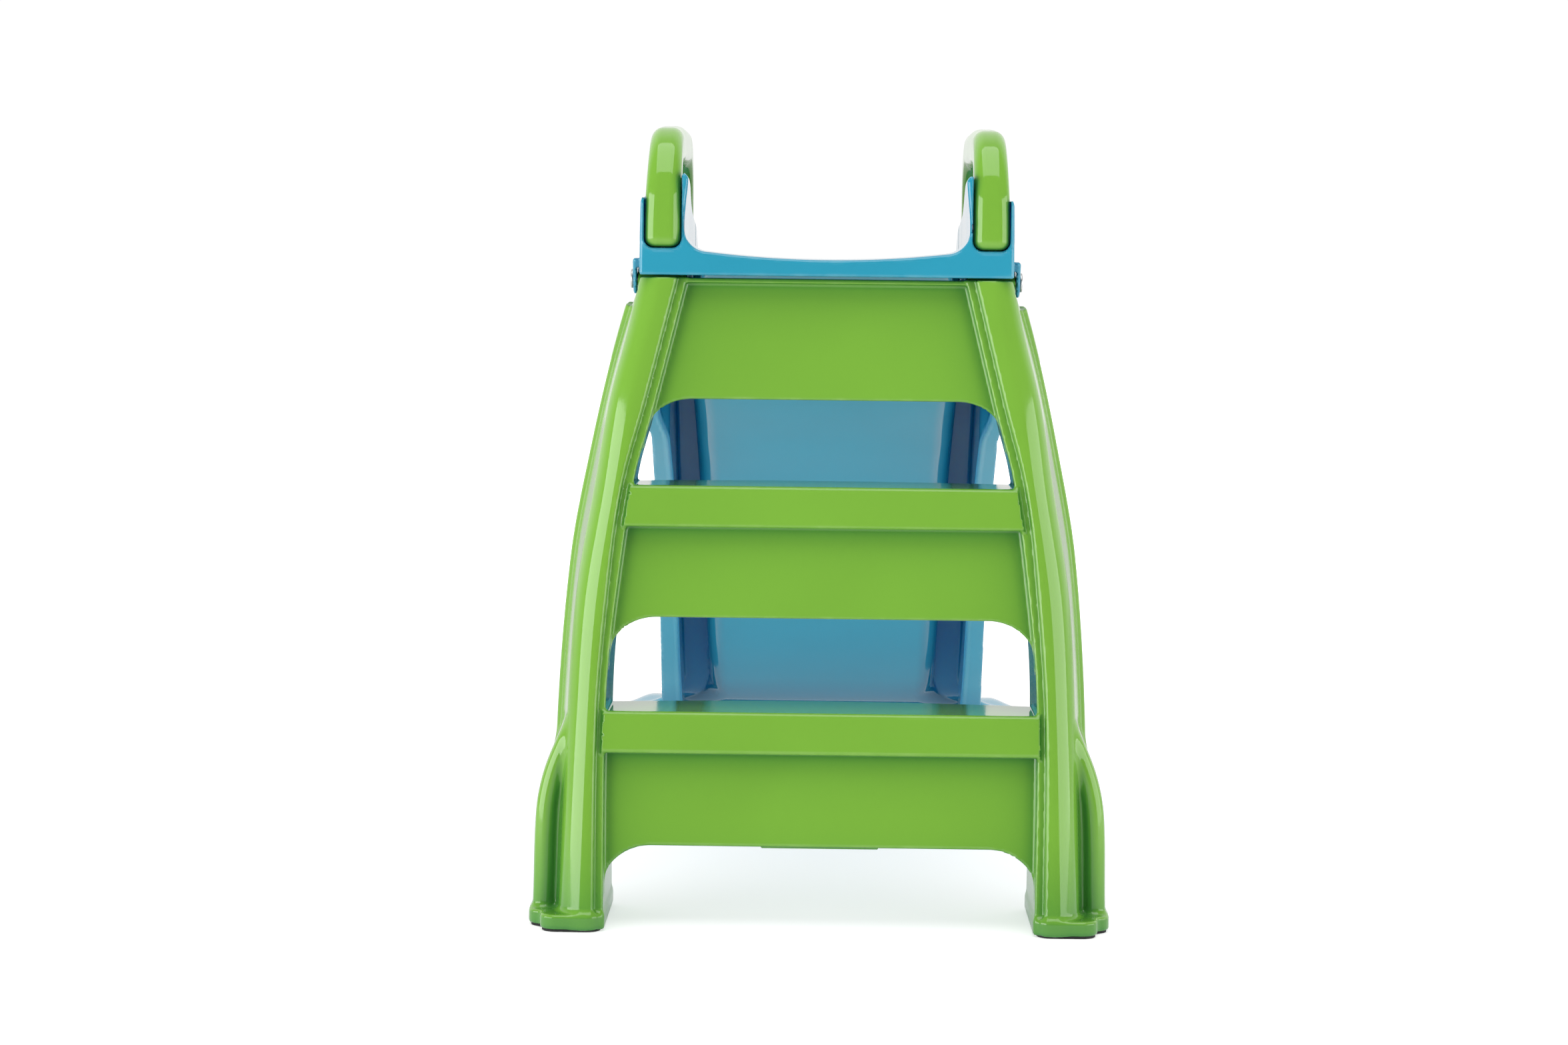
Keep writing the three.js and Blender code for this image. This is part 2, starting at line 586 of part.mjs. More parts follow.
function hingeCap(side) {
  const face = INNER_EAR_FACE - INNER_EAR_THICKNESS - GAP;
  return hingeBar(side, PIN_HEAD_RADIUS, face - CAP_DEPTH, face).subtract(pinBore(side));
}

// Places along the middle line of a handrail: up, back and down again, in a plane that faces X.
function railLine(side, trim) {
  const x = side * RAIL_MIDDLE;
  const at = (back, height) => new THREE.Vector3(x, back, height);
  const top = HEIGHT - RAIL_DEPTH / 2;
  const arc = (back, from) => [0, 1, 2, 3, 4, 5].map((i) => {
    const angle = from - ((i / 5) * Math.PI) / 2;
    return at(back + RAIL_BEND * Math.cos(angle), top - RAIL_BEND + RAIL_BEND * Math.sin(angle));
  });
  return [at(RAIL_FRONT, RAIL_NEAR_BOTTOM + trim), ...arc(RAIL_FRONT + RAIL_BEND, Math.PI),
    ...arc(farMiddle - RAIL_BEND, Math.PI / 2), at(farMiddle, RAIL_FAR_BOTTOM + trim)];
}

// A tube along a handrail's middle line, with its walls moved inwards by inset.
function railTube(side, inset, trim) {
  const places = railLine(side, trim);
  const last = places.length - 1;
  const section = roundedRect(RAIL_DEPTH - 2 * inset, RAIL_WIDTH - 2 * inset, RAIL_CORNER - inset);
  const path = new THREE.Curve();
  path.getPointAt = (t) => places[Math.round(t * last)].clone();
  path.getTangentAt = (t) => {
    const i = Math.round(t * last);
    if (i <= 1) return new THREE.Vector3(0, 0, 1);
    if (i >= last - 1) return new THREE.Vector3(0, 0, -1);
    return places[i + 1].clone().sub(places[i - 1]).normalize();
  };
  return solid(new THREE.ExtrudeGeometry(section, { steps: last, extrudePath: path, bevelEnabled: false }));
}

// A hollow blow-moulded handrail, with solid ends that take the screws.
function handrail(side) {
  const x = side * RAIL_MIDDLE;
  let whole = railTube(side, 0, 0).subtract(railTube(side, RAIL_SHELL, RAIL_END_PLUG));
  for (const [back, bottom] of [[RAIL_FRONT, RAIL_NEAR_BOTTOM], [farMiddle, RAIL_FAR_BOTTOM]]) {
    whole = whole.subtract(post(SCREW_HOLE_RADIUS, x, back, bottom - 5, bottom + 10));
    const plugTop = bottom + RAIL_END_PLUG + 5;
    whole = whole.subtract(post(BLOW_HOLE_RADIUS, x + BLOW_HOLE_OFFSET, back, bottom - 5, plugTop));
  }
  return whole;
}

function handrailScrew(side, back, railBottom) {
  const face = railBottom - GAP - WALL - GAP;
  const x = side * RAIL_MIDDLE;
  const shank = post(SCREW_SHANK_RADIUS, x, back, face - 1, railBottom + 8);
  return shank.add(post(SCREW_HEAD_RADIUS, x, back, face - SCREW_HEAD_THICKNESS, face));
}

const footPad = (side) => footLobes(side, 0, PAD_THICKNESS, PAD_INSET);

function exitPad(side) {
  const [x0, x1] = acrossSide(side, EXIT_PAD_INNER, EXIT_PAD_OUTER);
  return roundedPad(x0, x1, EXIT_PAD_START, EXIT_PAD_END, 0, PAD_THICKNESS, EXIT_PAD_CORNER);
}

const chuteGroup = new THREE.Group();
chuteGroup.add(mesh('slide_body', slideBody(), BLUE));
const ladderGroup = new THREE.Group();
ladderGroup.add(mesh('ladder_frame', ladderFrame(), GREEN));
ladderGroup.add(mesh('latch_bracket', latchBracket(), GREEN));
ladderGroup.add(mesh('latch_lever', latchLever(), GREEN));
ladderGroup.add(mesh('latch_pin', latchPin(), STEEL));
for (const [hand, side] of [['left', -1], ['right', 1]]) {
  chuteGroup.add(mesh(`handrail_${hand}`, handrail(side), GREEN));
  const [nearScrew, farScrew] = [`handrail_screw_${hand}_near`, `handrail_screw_${hand}_far`];
  chuteGroup.add(mesh(nearScrew, handrailScrew(side, RAIL_FRONT, RAIL_NEAR_BOTTOM), STEEL));
  chuteGroup.add(mesh(farScrew, handrailScrew(side, farMiddle, RAIL_FAR_BOTTOM), STEEL));
  chuteGroup.add(mesh(`hinge_pin_${hand}`, hingePin(side), STEEL));
  chuteGroup.add(mesh(`hinge_cap_${hand}`, hingeCap(side), BLUE));
  chuteGroup.add(mesh(`exit_pad_${hand}`, exitPad(side), RUBBER));
  ladderGroup.add(mesh(`foot_pad_${hand}`, footPad(side), RUBBER));
  ladderGroup.add(mesh(`latch_screw_${hand}`, latchScrew(side * LATCH_SCREW_X), STEEL));
}

const slide = new THREE.Group();
slide.add(chuteGroup, ladderGroup);
slide.position.y = -LENGTH / 2;

export default slide;
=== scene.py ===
import math

import bpy
import numpy as np
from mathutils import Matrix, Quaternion, Vector


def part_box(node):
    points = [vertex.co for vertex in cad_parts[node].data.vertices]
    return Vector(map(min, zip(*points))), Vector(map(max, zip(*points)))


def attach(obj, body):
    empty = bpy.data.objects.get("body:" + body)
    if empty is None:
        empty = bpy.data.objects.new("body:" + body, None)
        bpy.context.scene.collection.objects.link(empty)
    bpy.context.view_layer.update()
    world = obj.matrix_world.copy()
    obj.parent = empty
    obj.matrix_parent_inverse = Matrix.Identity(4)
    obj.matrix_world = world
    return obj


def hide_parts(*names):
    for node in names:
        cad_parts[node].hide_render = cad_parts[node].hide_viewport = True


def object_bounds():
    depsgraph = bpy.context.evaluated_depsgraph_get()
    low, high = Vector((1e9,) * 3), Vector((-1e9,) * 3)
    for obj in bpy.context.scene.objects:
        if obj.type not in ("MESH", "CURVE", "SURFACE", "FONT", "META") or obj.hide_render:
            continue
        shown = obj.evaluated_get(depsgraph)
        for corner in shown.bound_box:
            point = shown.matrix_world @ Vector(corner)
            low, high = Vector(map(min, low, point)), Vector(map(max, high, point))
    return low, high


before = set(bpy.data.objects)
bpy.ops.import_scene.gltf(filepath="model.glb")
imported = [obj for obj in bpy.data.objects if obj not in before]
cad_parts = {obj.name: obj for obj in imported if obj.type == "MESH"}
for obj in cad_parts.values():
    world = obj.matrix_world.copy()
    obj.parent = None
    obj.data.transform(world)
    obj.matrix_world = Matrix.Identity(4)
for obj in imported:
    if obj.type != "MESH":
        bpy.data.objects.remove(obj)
cad_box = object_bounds()

# Every shape below is worked out in millimetres, in the slide's own measures: x across, b back from the
# front of the ladder's feet, z up. The frame's Y is b less the distance from that front to the middle.
MM = 0.001
LOW, HIGH = (np.array(corner) / MM for corner in cad_box)
FRONT_Y = LOW[1]
LENGTH = HIGH[1] - LOW[1]
EXIT_HALF = HIGH[0]
TOP = HIGH[2]
WALL = 3.4
SLOPED_WALL = 3.9


def node_box(name):
    """A node's box in the slide's own measures."""
    low, high = (np.array(corner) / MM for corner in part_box(name))
    return low - (0, FRONT_Y, 0), high - (0, FRONT_Y, 0)


PIN = node_box("hinge_pin_right")
HINGE_B = (PIN[0][1] + PIN[1][1]) / 2
HINGE_Z = (PIN[0][2] + PIN[1][2]) / 2
LATCH = node_box("latch_pin")
LATCH_B = (LATCH[0][1] + LATCH[1][1]) / 2
LATCH_Z = (LATCH[0][2] + LATCH[1][2]) / 2
RAIL = node_box("handrail_right")
RAIL_MIDDLE = (RAIL[0][0] + RAIL[1][0]) / 2
LIP_B = node_box("slide_body")[0][1]
FLOOR_GAP = node_box("ladder_frame")[0][2]
CAP = node_box("hinge_cap_right")
PAD_TOP = node_box("foot_pad_right")[1][2]
EXIT_PAD = node_box("exit_pad_right")
SOLE = 1.4
BORE = 4.2


# ---- Fields: a field is negative inside a shape, and about its distance in mm outside it ----


def smooth(t):
    t = np.clip(t, 0, 1)
    return t * t * (3 - 2 * t)


def mix(a, b, t):
    return a + (b - a) * t


def joined(a, b, r):
    """The union of two fields, with a fillet of radius r where they meet."""
    return np.maximum(r, np.minimum(a, b)) - np.hypot(np.maximum(r - a, 0), np.maximum(r - b, 0))


def both(a, b, r):
    """The part inside both fields, with its edge rounded to radius r."""
    return np.minimum(-r, np.maximum(a, b)) + np.hypot(np.maximum(r + a, 0), np.maximum(r + b, 0))


def without(a, b, r):
    """Field a with field b cut away, with the cut's edge rounded to radius r."""
    return both(a, -b, r)


def between(value, low, high):
    return np.maximum(low - value, value - high)


def box_field(x, y, z, low, high, r):
    """A box with rounded edges."""
    qx, qy, qz = (between(value, low[k], high[k]) + r for k, value in enumerate((x, y, z)))
    outside = np.sqrt(np.maximum(qx, 0) ** 2 + np.maximum(qy, 0) ** 2 + np.maximum(qz, 0) ** 2)
    return outside + np.minimum(np.maximum(qx, np.maximum(qy, qz)), 0) - r


def flat_box(u, v, low, high, r):
    """A rectangle with rounded corners, in two of the three directions."""
    qu, qv = between(u, low[0], high[0]) + r, between(v, low[1], high[1]) + r
    return np.hypot(np.maximum(qu, 0), np.maximum(qv, 0)) + np.minimum(np.maximum(qu, qv), 0) - r


def segment(u, v, a, b):
    """Distance to a straight line between two places."""
    run = np.subtract(b, a)
    t = np.clip(((u - a[0]) * run[0] + (v - a[1]) * run[1]) / (run @ run), 0, 1)
    return np.hypot(u - a[0] - t * run[0], v - a[1] - t * run[1])


def profile(*knots):
    """A smooth curve through (place, value) knots, held level past its ends."""
    at, value = np.array(knots, float).T
    i0, i1 = np.maximum(np.arange(len(at)) - 1, 0), np.minimum(np.arange(len(at)) + 1, len(at) - 1)
    slope = (value[i1] - value[i0]) / (at[i1] - at[i0])
    fine = np.linspace(at[0], at[-1], 1500)
    i = np.clip(np.searchsorted(at, fine) - 1, 0, len(at) - 2)
    run = at[i + 1] - at[i]
    t = (fine - at[i]) / run
    curve = value[i] * (1 + 2 * t) * (1 - t) ** 2 + value[i + 1] * t * t * (3 - 2 * t)
    curve += run * (slope[i] * t * (1 - t) ** 2 + slope[i + 1] * t * t * (t - 1))
    kernel = np.hanning(41)[1:-1]
    padded = np.pad(curve, len(kernel) // 2, mode="edge")
    curve = np.convolve(padded, kernel / kernel.sum(), mode="valid")
    return lambda place: np.interp(place, fine, curve)


# ---- Ladder ----

RISER_FRONT, RISER_REAR = 16, 19
LUG_INNER, LUG_OUTER = 102.5, 138.2
FOOT_INNER, FOOT_REAR, FOOT_CORNER = 155.5, 122.0, 12.0
TREADS = (157.5, 320.0)
LADDER_TOP = 470.5
ARCHES = (60.0, 224.0, 382.0)
LEAN = 60 / 470
NOSING = 30.0
face_outer = profile((0, 187.5), (152, 182), (239, 177), (315, 165), (382, 155), (440, 140), (471, 134))
face_inner = profile((0, 162), (152, 162), (239, 156), (315, 147), (382, 130), (471, 108))
rail_outer = profile((0, 197), (140, 195.5), (263, 187), (338, 174), (408, 158), (471, 139))
rail_inner = profile((0, 155.5), (170, 155.5), (260, 147), (329, 136.6), (365, 127), (471, 101))
outer_rear = profile((0, 115), (162, 124), (335, 139), (400, 130), (450, 104), (471, 100))
inner_rear = profile((0, 115), (162, 118), (335, 103), (380, 98), (471, 98))
foot_reach = profile((0, 209), (24, 208.5), (83, 207), (110, 202), (136, 192), (150, 185))


def rail_solid(x, b, z):
    """A side rail as a solid bar without its rear and end faces."""
    face = z * LEAN
    inner, near, far = rail_inner(z), face_outer(z), rail_outer(z)
    run_x, run_b = far - near, outer_rear(z) - face
    side = ((x - near) * run_b - (b - face) * run_x) / np.hypot(run_x, run_b)
    middle = (face_inner(z) + near) / 2
    crown = 1.6 * ((x - middle) / (near - middle)) ** 2
    bar = both(face + crown - b, side, mix(15.0, 20.0, smooth((430 - z) / 120)))
    rebate = both(x - face_inner(z), b - face - 6.5, 1.5)
    bar = without(bar, rebate, 2.2)
    return both(bar, inner - x, 1.6)


def foot_outline(x, b):
    """A foot seen from above: a near lobe, and a wider one behind it."""
    near = flat_box(x, b, (FOOT_INNER, 0.0), (201.0, 80.0), FOOT_CORNER)
    far = flat_box(x, b, (FOOT_INNER, 20.0), (210.5, FOOT_REAR), FOOT_CORNER)
    outer = flat_box(x, b, (180.0, 20.0), (210.5, FOOT_REAR), FOOT_CORNER)
    return np.minimum(joined(near, outer, 4.0), far)


def foot_solid(x, b, z):
    return both(foot_outline(x, b), between(z, SOLE, 12.5), 2.5)


def buttress_solid(x, b, z):
    reach = foot_reach(z)
    panel = both(x - reach, 34.5 + 0.06 * z - b, 8.0)
    rib = np.hypot(x - reach + 8, b - 35.5 - 0.06 * z) - 7.5
    return both(joined(panel, rib, 3.0), np.maximum(175 - x, z - 150), 1.0)


def rails(x, b, z):
    """Both rails with their feet, hollow and open to the rear, with cross ribs inside."""
    bar = rail_solid(x, b, z)
    foot = foot_solid(x, b, z)
    buttress = buttress_solid(x, b, z)
    bead = np.hypot(x - rail_outer(z) + 2.5, b - outer_rear(z) + 5) - 4.5
    outer = joined(joined(joined(bar, bead, 3.0), buttress, 5.0), foot, 4.5)
    inside = np.minimum(np.minimum(bar, buttress), foot) + WALL + 0.5
    ends = between(z, FLOOR_GAP + 4, LADDER_TOP - 3.5)
    spacing = 54.0
    ribs = np.abs((z - 20) % spacing - spacing / 2) - 1.3
    inside = np.maximum(np.maximum(inside, ends), -ribs)
    t = np.clip((x - rail_inner(z)) / np.maximum(rail_outer(z) - rail_inner(z), 1), 0, 1.6)
    rear = b - mix(inner_rear(z), outer_rear(z), t)
    shell = both(without(outer, inside, 1.0), rear, 1.2)
    return both(shell, between(z, SOLE, LADDER_TOP), 1.2)


def riser(x, b, z, arch, top):
    """A riser panel with an arch that sweeps down to the rails."""
    width, drop = 35.0, 30.0
    edge = rail_inner(arch - drop) + 1
    u = np.maximum(x - (edge - width), 0) / width
    v = np.maximum(z - (arch - drop), 0) / drop
    opening = (np.hypot(u, v) - 1) * drop
    plate = between(b, z * LEAN + RISER_FRONT, z * LEAN + RISER_REAR)
    plate = np.maximum(plate, np.maximum(z - top, x - rail_inner(z) - 2))
    plate = np.maximum(plate, arch - drop - 6 - z)
    return without(plate, opening, 1.3)


def tread(x, b, z, top):
    """A tread with its nosing, the ledge below the nosing and the lip along its rear edge."""
    face = z * LEAN + 4
    rear = top * LEAN + 63 + 16 * (1 - (x / rail_inner(top)) ** 2)
    side = x - rail_inner(z) - 2
    outer = both(both(face - b, z - top, 3.2), b - rear, 3.0)
    nose = both(outer, top - NOSING - z, 2.5)
    front = np.maximum(without(nose, nose + WALL, 0.6), b - z * LEAN - RISER_REAR)
    back = np.maximum(without(outer, outer + WALL, 0.6),
                      np.maximum(z * LEAN + RISER_FRONT - b, top - 12 - z))
    gusset = (top - 10 - z) + (b - z * LEAN - RISER_REAR) * 0.35
    ribs = np.maximum(np.abs((x + 24) % 48 - 24) - 1.2, np.maximum(outer + 1, z * LEAN + 17 - b))
    ribs = np.maximum(ribs, gusset)
    return np.maximum(np.minimum(np.minimum(front, back), ribs), side)


def ladder_field(x, b, z):
    x = np.abs(x)
    whole = rails(x, b, z)
    tops = (TREADS[0] - 27, TREADS[1] - 27, LADDER_TOP - 1)
    low, middle, high = (riser(x, b, z, arch, top) for arch, top in zip(ARCHES, tops))
    panels = np.minimum(np.minimum(low, middle), high)
    steps = np.minimum(tread(x, b, z, TREADS[0]), tread(x, b, z, TREADS[1]))
    brow_low, brow_high = (-200, 7.5, LADDER_TOP - 4), (101, RISER_REAR, LADDER_TOP - 0.5)
    brow = box_field(x, b - z * LEAN, z, brow_low, brow_high, 1.0)
    panels = joined(joined(panels, steps, 1.5), brow, 1.5)
    whole = joined(whole, panels, 2.5)
    from_pin = np.hypot(b - HINGE_B, z - HINGE_Z)
    lug = both(from_pin - 11, between(x, LUG_INNER, LUG_OUTER), 0.8)
    web = segment(b, z, (HINGE_B, HINGE_Z), (HINGE_B - 8, 440)) - 8
    lug = np.minimum(lug, both(web, between(x, 114, 127), 1))
    whole = joined(whole, lug, 2.0)
    whole = without(whole, np.maximum(from_pin - 20, LUG_OUTER - x), 1.0)
    whole = without(whole, np.maximum(from_pin - 13, x - LUG_INNER), 1.0)
    return without(whole, from_pin - BORE, 0.5)


# ---- Slide body ----

EAR_RADIUS = 11.5
bed = profile((60, 484), (140, 483), (200, 466), (330, 383), (430, 334), (530, 284), (660, 200),
              (780, 116), (880, 64), (960, 46), (991, 43))
wing_top = profile((60, 546), (110, 543), (210, 524), (320, 506), (380, 462), (460, 392), (660, 262),
                   (780, 166), (850, 104), (900, 68), (940, 55.5), (991, 49))
rim_drop = profile((60, 12), (140, 12), (215, 24), (780, 24), (880, 36), (930, 50), (991, 50))
flange_reach = profile((60, 0.5), (260, 0.5), (355, 10.8), (823, 16), (900, 30), (943, 46), (991, 40))


def slide_measures(b):
    """Half-widths and heights of the slide body's section at each distance back."""
    flare = 55 * smooth((b - 865) / 126)
    inner = 103.8 + flare
    outer = mix(136, 130, smooth((b - 318) / 50)) + flare * 1.2 + 6 * smooth((b - 400) / 420)
    reach = np.minimum(outer + flange_reach(b), EXIT_HALF)
    rim = np.maximum(bed(b) - rim_drop(b), FLOOR_GAP + WALL)
    return inner, outer, reach, rim


def rounded_corner(u, v):
    """Distance to the outside of a quarter turn whose two sides are u = 0 and v = 0."""
    return np.hypot(np.maximum(u, 0), np.maximum(v, 0)) + np.minimum(np.maximum(u, v), 0)


def slide_solid(x, b, z):
    """The slide body as if it were filled down to the floor: its top surface and sides."""
    inner, outer, _, _ = slide_measures(b)
    near = 1 - smooth((b - LIP_B) / 260)
    inner = inner - 3.0 * near * smooth((z - 508) / 38)
    outer = outer - 0.7 * near * smooth((z - 474) / 66)
    dish = 6 * (1 - smooth((b - 100) / 80))
    floor = bed(b) + dish * (np.minimum(x, 100) / 95) ** 2
    corner, edge = 15.0, 7.0
    trough = rounded_corner(x - (inner - corner), floor + corner - z)
    top = wing_top(b) - 15 * (1 - smooth((b - 90) / 120)) * smooth((x - 108) / 24)
    top = top - 9 * smooth((b - 880) / 60) * smooth((x - inner - 8) / 30)
    body = rounded_corner(x - (outer - edge), z - (top - edge)) - edge
    body = both(body, -(trough - corner), 5.0)
    return both(both(body, LIP_B - b, 2.5), b - LENGTH, 3.0)


def ear_foot(b, z):
    """An ear's round lower end and its straight sides above."""
    return np.hypot(b - HINGE_B, np.minimum(z - HINGE_Z, 0)) - EAR_RADIUS


def ear_outline(b, z):
    lower = ear_foot(b, z)
    upper = (np.abs(b - HINGE_B) - EAR_RADIUS - 0.6 * np.maximum(z - HINGE_Z, 0)) * 0.85
    return both(np.where(z < HINGE_Z, lower, upper), z - HINGE_Z - 15, 2.5)


def slide_field(x, b, z):
    x = np.abs(x)
    _, outer, reach, rim = slide_measures(b)
    solid = slide_solid(x, b, z)
    lower_edge = rim - WALL * smooth((b - 125) / 30)
    shell = both(without(solid, solid + SLOPED_WALL, 0.8), lower_edge - z, 1.2)
    flange = both(both(between(z, rim - WALL, rim), x - reach, 1.3), 120 - b, 1.0)
    flange = np.maximum(flange, outer - 2.5 - x)
    shell = joined(shell, both(flange, b - LENGTH, 1.3), 2.0)
    rail = handrail_field(x, b, z)
    shell = joined(shell, np.maximum(rail - 3.4, solid), 1.0)
    ear = ear_outline(b, z)
    space_low, space_high = (104.8, HINGE_B - 17, 430), (138.5, HINGE_B + 17, HINGE_Z + 12.5)
    space = box_field(x, b, z, space_low, space_high, 1.0)
    shell = without(shell, space, 0.5)
    bulge = both(ear, between(x, 133, 141.5), 2.0)
    roof, web = z - HINGE_Z - 12.5, np.minimum(ear + WALL, z - HINGE_Z - 8)
    hollow = np.maximum(np.maximum(x - 138.5, roof), web)
    shell = joined(shell, without(bulge, hollow, 0.5), 1.2)
    inner_ear = both(ear_foot(b, z), between(x, 97.2, 102.2), 1.0)
    shell = joined(shell, np.maximum(inner_ear, z - HINGE_Z - 22), 2.0)
    gap = 0.45 + 2.0 * smooth((z - 512) / 30) * (x < RAIL_MIDDLE)
    shell = without(shell, rail - gap, 0.6)
    slot_low, slot_high = (RAIL_MIDDLE - 13.9, NEAR_BOTTOM - 0.4), (RAIL_MIDDLE + 13.4, 640)
    slot = flat_box(x, z, slot_low, slot_high, 7.0)
    shell = without(shell, both(slot, b - NEAR_LEG, 0.3), 0.6)
    return without(shell, np.hypot(b - HINGE_B, z - HINGE_Z) - BORE, 0.5)


# ---- Handrails ----

NEAR_BOTTOM, FAR_BOTTOM = 492.0, 484.0
RAIL_HALF_DEPTH = 14.0
NEAR_LEG = RAIL[0][1] + RAIL_HALF_DEPTH - 1.5
FAR_LEG = RAIL[1][1] - RAIL_HALF_DEPTH


def handrail_field(x, b, z):
    """The right handrail: a looped bar with a rounded rectangular section."""
    bend, corner = 40.0, 9.0
    loop_u = between(b, NEAR_LEG, FAR_LEG) + bend
    loop_v = z + 4 * (1 - smooth((b - 90) / 100)) - (TOP - RAIL_HALF_DEPTH) + bend
    loop = rounded_corner(loop_u, loop_v) - bend
    up = smooth((z - 500) / 80)
    across = np.abs(x - RAIL_MIDDLE + 1.3 * up) - (13.5 - 1.5 * up) + corner
    depth = np.abs(loop) - RAIL_HALF_DEPTH + corner
    bar = rounded_corner(across, depth) - corner
    bottom = np.where(b < (NEAR_LEG + FAR_LEG) / 2, NEAR_BOTTOM, FAR_BOTTOM)
    return both(bar, bottom - z, 7.0)


# ---- Small pieces ----


def turned(x, b, z, centre_b, centre_z, low, high, radius, edge):
    """A round bar along X."""
    return both(np.hypot(b - centre_b, z - centre_z) - radius, between(x, low, high), edge)


def hinge_pin_field(x, b, z):
    x = np.abs(x)
    tip, end = PIN[0][0], PIN[1][0]
    shaft = turned(x, b, z, HINGE_B, HINGE_Z, tip, end - 0.5, 4.0, 0.8)
    dome = np.sqrt((x - end + 12.5) ** 2 + (b - HINGE_B) ** 2 + (z - HINGE_Z) ** 2) - 12.5 - 1.6
    head = both(turned(x, b, z, HINGE_B, HINGE_Z, end - 1.6, end + 1, 7.0, 0.3), dome, 0.4)
    return np.maximum(joined(shaft, head, 0.5), x - end)


def hinge_cap_field(x, b, z):
    x = np.abs(x)
    low, high = CAP[0][0], CAP[1][0]
    cap = turned(x, b, z, HINGE_B, HINGE_Z, low, high, 7.0, 1.0)
    angle = np.arctan2(z - HINGE_Z, b - HINGE_B)
    cap = cap + 0.25 * (1 + np.cos(14 * angle)) * smooth((np.hypot(b - HINGE_B, z - HINGE_Z) - 5) / 2)
    return without(cap, np.hypot(b - HINGE_B, z - HINGE_Z) - 4.1, 0.3)


def cross_recess(u, v, depth, size):
    """The crossed slot in a screw's head."""
    half = 0.45
    across = flat_box(u, v, (-size, -half), (size, half), 0.2)
    along = flat_box(u, v, (-half, -size), (half, size), 0.2)
    return np.maximum(np.minimum(across, along), depth)


def screw_field(u, v, along, head_from, head_to, tip, head_radius, shank_radius):
    """A pan-head screw. along grows from the head's top towards the tip."""
    radius = np.hypot(u, v)
    head = both(radius - head_radius, between(along, head_from, head_to), 0.9)
    thread = 0.22 * np.abs(((along / 1.4 + np.arctan2(v, u) / (2 * math.pi)) % 1) * 2 - 1)
    shank = both(radius - shank_radius + thread, between(along, head_to - 0.5, tip), 0.6)
    recess = cross_recess(u, v, along - head_from - 1.3, head_radius * 0.55)
    return without(np.minimum(head, shank), recess, 0.1)


def handrail_screw(name):
    low, high = node_box(name)
    middle = (low + high) / 2

    def field(x, b, z):
        return screw_field(x - middle[0], b - middle[1], z - low[2], 0.0, 2.4, high[2] - low[2], 4.0, 1.75)

    return field


def latch_screw(name):
    low, high = node_box(name)
    middle = (low + high) / 2

    def field(x, b, z):
        return screw_field(x - middle[0], z - middle[2], high[1] - b, 0.0, 2.2, high[1] - low[1], 4.0, 1.85)

    return field


def latch_bracket_field(x, b, z):
    face = z * LEAN + 19.3
    plate = box_field(x, b - face, z, (-42.5, 0, 58.5), (42.5, 2.5, 106), 1.0)
    lower = 77 + (b - LATCH_B) * 0.2
    cheek_shape = np.maximum(between(b, face + 1, LATCH_B + 7), between(z, lower, 104))
    cheek_shape = both(cheek_shape, z - 98 - (LATCH_B + 7 - b) * 0.25, 3.0)
    cheeks = both(cheek_shape, np.abs(np.abs(x) - 12.4) - 1.5, 0.6)
    whole = joined(plate, cheeks, 1.5)
    whole = without(whole, np.hypot(b - LATCH_B, z - LATCH_Z) - 2.6, 0.3)
    return without(whole, np.hypot(np.abs(x) - 32, z - 84) - 2.3, 0.4)


def latch_lever_field(x, b, z):
    u, v = b - LATCH_B, z - LATCH_Z
    barrel = both(np.hypot(u, v) - 6, np.abs(x) - 10.5, 0.8)
    tab = segment(u, v, (-2.5, -4.5), (-8.5, -30)) - 2.5
    tab = both(np.minimum(tab, segment(u, v, (-8.5, -30), (-8.5, -33.0)) - 2.5), np.abs(x) - 10.5, 1.5)
    arm = np.minimum(segment(u, v, (2, 2), (49, 30)) - 3.6, segment(u, v, (50.5, 31.5), (51.5, 57)) - 3.2)
    arm = both(arm, np.abs(x) - 7.5, 1.2)
    whole = both(joined(joined(barrel, tab, 3.0), arm, 3.0), np.abs(x) - 10.5, 0.5)
    return without(whole, np.hypot(u, v) - 2.6, 0.3)


def latch_pin_field(x, b, z):
    shaft = turned(x, b, z, LATCH_B, LATCH_Z, -14.9, LATCH[1][0], 2.5, 0.6)
    return np.minimum(shaft, turned(x, b, z, LATCH_B, LATCH_Z, LATCH[0][0], -14.8, 4.5, 0.7))


def foot_pad_field(x, b, z):
    x = np.abs(x)
    return gripped(foot_outline(x, b) + 1.5, x, b, z)


def gripped(outline, x, b, z):
    """A pad of this outline, with slanted grip grooves across its underside."""
    grooves = np.maximum(np.abs((b + x) % 9 - 4.5) - 1.3, np.maximum(outline + 4, z - 0.9))
    return without(both(outline, between(z, 0, PAD_TOP), 0.5), grooves, 0.2)


def exit_pad_field(x, b, z):
    x = np.abs(x)
    low, high = EXIT_PAD
    outline = flat_box(x, b, low[:2], high[:2], 8.0)
    return gripped(outline, x, b, z)


# ---- From a field to a mesh ----

EDGES = [(a, a | bit) for bit in (1, 2, 4) for a in range(8) if not a & bit]


